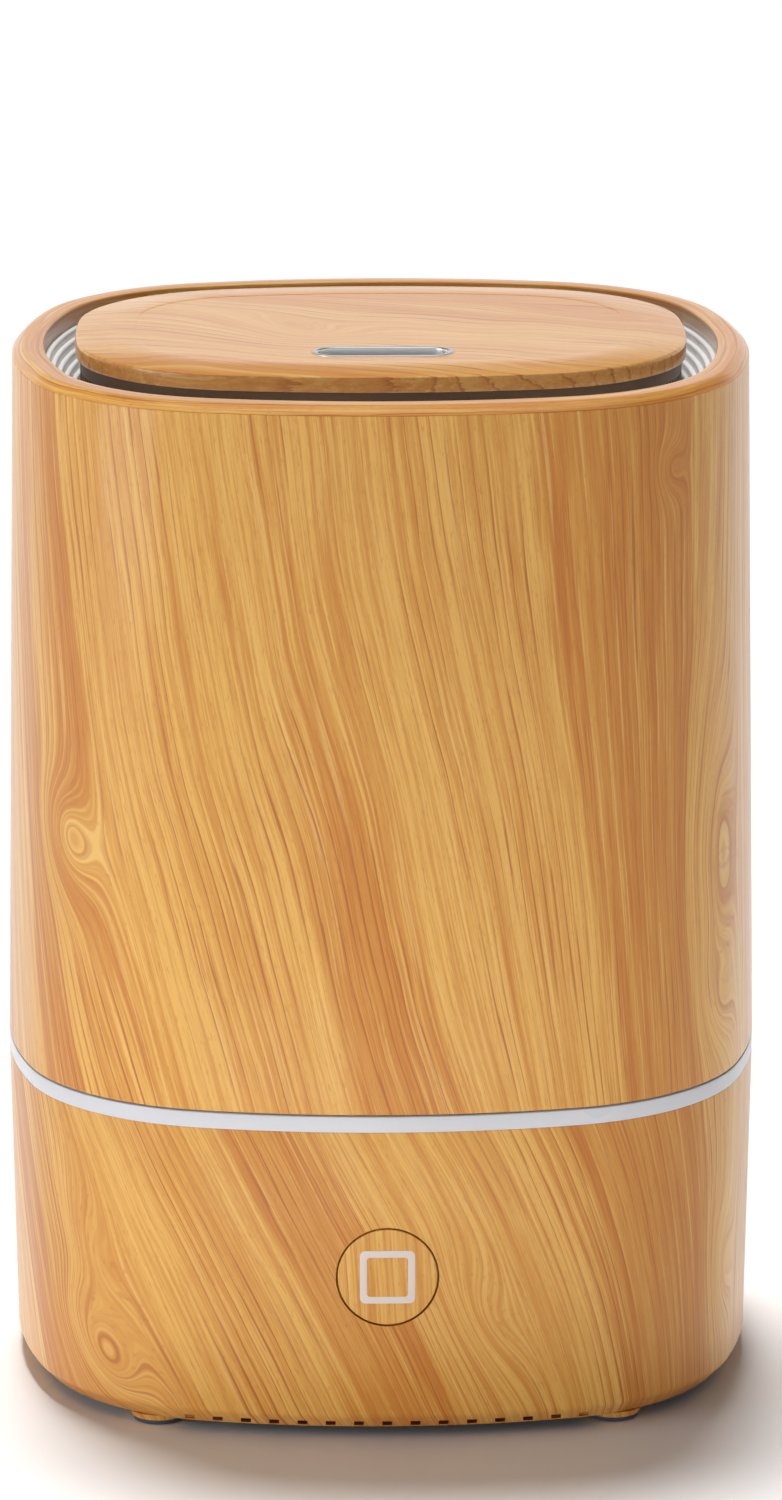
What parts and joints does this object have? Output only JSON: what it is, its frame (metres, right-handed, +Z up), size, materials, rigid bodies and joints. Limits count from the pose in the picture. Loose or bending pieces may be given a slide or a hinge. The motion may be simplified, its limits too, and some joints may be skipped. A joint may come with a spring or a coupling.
{
  "type": "cool mist humidifier",
  "caption": "Top-fill ultrasonic humidifier: rounded wood-print tank on a base with a light ring, push button and a lift-off lid with a mist slot.",
  "frame": {"origin": "on the surface it stands on, under the middle of the body", "axes": "+Z up; -Y is the front, with the button; +X to the right seen from the front"},
  "size_m": [0.2, 0.186, 0.2797],
  "materials": {
    "wood_print": "glossy light oak wood-print film over moulded plastic",
    "wood_rim": "glossy light oak wood-print film, grain along the rim",
    "wood_lid": "glossy light oak wood-print film, grain across",
    "dark_plastic": "dark brown-black moulded plastic, satin",
    "white_plastic": "white moulded plastic, satin",
    "light_diffuser": "silver-white translucent diffuser, satin",
    "indicator_silver": "silver-grey inlay, satin",
    "bright_metal": "polished, bright",
    "steel": "zinc-plated steel",
    "aluminium": "plain extruded or pressed aluminium",
    "brass": "sintered bronze",
    "copper_coil": "enamelled copper winding",
    "circuit_board": "green solder mask",
    "black_component": "black moulded components",
    "led": "pale yellow phosphor",
    "rubber": "dark blue-grey rubber, matte",
    "silicone": "translucent white silicone, soft"
  },
  "bodies": {
    "base": {"base_shell": "wood_print", "bottom_plate": "dark_plastic", "bottom_plate_screws": "steel", "feet": "wood_print", "foot_pads": "rubber", "light_ring": "light_diffuser", "led_board": "circuit_board", "led_chips": "led", "water_tray": "white_plastic", "mist_disc": "bright_metal", "disc_seal": "silicone", "disc_clamp": "aluminium", "disc_clamp_screws": "steel", "driver_board": "circuit_board", "heat_sink": "aluminium", "driver_components": "black_component", "power_board": "circuit_board", "power_components": "black_component", "board_standoffs": "white_plastic", "board_screws": "steel", "power_socket": "black_component", "socket_pin": "bright_metal", "button_retainer": "dark_plastic", "control_board": "circuit_board", "control_board_screws": "steel", "tact_switch": "black_component", "fan_frame": "dark_plastic", "fan_bearing": "brass", "fan_coil": "copper_coil", "air_duct": "white_plastic", "float_post": "white_plastic", "float_stop": "white_plastic", "reed_switch": "black_component"},
    "button": {"power_button": "wood_print", "button_mark": "indicator_silver", "switch_plunger": "black_component"},
    "fan_wheel": {"fan_rotor": "dark_plastic", "fan_magnet": "steel"},
    "float": {"level_float": "white_plastic", "float_magnet": "steel"},
    "tank": {"tank_shell": "wood_print", "tank_rim": "wood_rim", "tank_floor": "white_plastic", "chimney_seal": "silicone", "mist_chimney": "white_plastic", "valve_cap": "white_plastic", "valve_cage": "white_plastic", "fill_funnel": "white_plastic"},
    "valve": {"valve_plunger": "white_plastic", "valve_seal": "silicone", "valve_spring": "steel"},
    "lid": {"lid_top": "wood_lid", "outlet_bezel": "bright_metal", "lid_frame": "dark_plastic", "mist_duct": "white_plastic", "duct_seal": "silicone", "lid_screws": "steel"}
  },
  "joints": [
    {"name": "tank_lift", "type": "slide", "parent": "base", "child": "tank", "axis": [0, 0, 1], "range_m": [0, 0.12]},
    {"name": "lid_lift", "type": "slide", "parent": "tank", "child": "lid", "axis": [0, 0, 1], "range_m": [0, 0.08]},
    {"name": "button_press", "type": "slide", "parent": "base", "child": "button", "axis": [0, 1, 0], "range_m": [0, 0.0012], "stiffness_N_per_m": 1500},
    {"name": "fan_spin", "type": "hinge", "parent": "base", "child": "fan_wheel", "pos_m": [-0.026, 0.06, 0.05], "axis": [0, 0, 1], "continuous": true},
    {"name": "float_rise", "type": "slide", "parent": "base", "child": "float", "axis": [0, 0, 1], "range_m": [0, 0.01]},
    {"name": "valve_close", "type": "slide", "parent": "tank", "child": "valve", "axis": [0, 0, -1], "range_m": [0, 0.004], "deforming": ["valve_spring"]}
  ],
  "couplings": [
    {"joint": "valve_close", "follows": "tank_lift", "ratio": 0.033333}
  ]
}
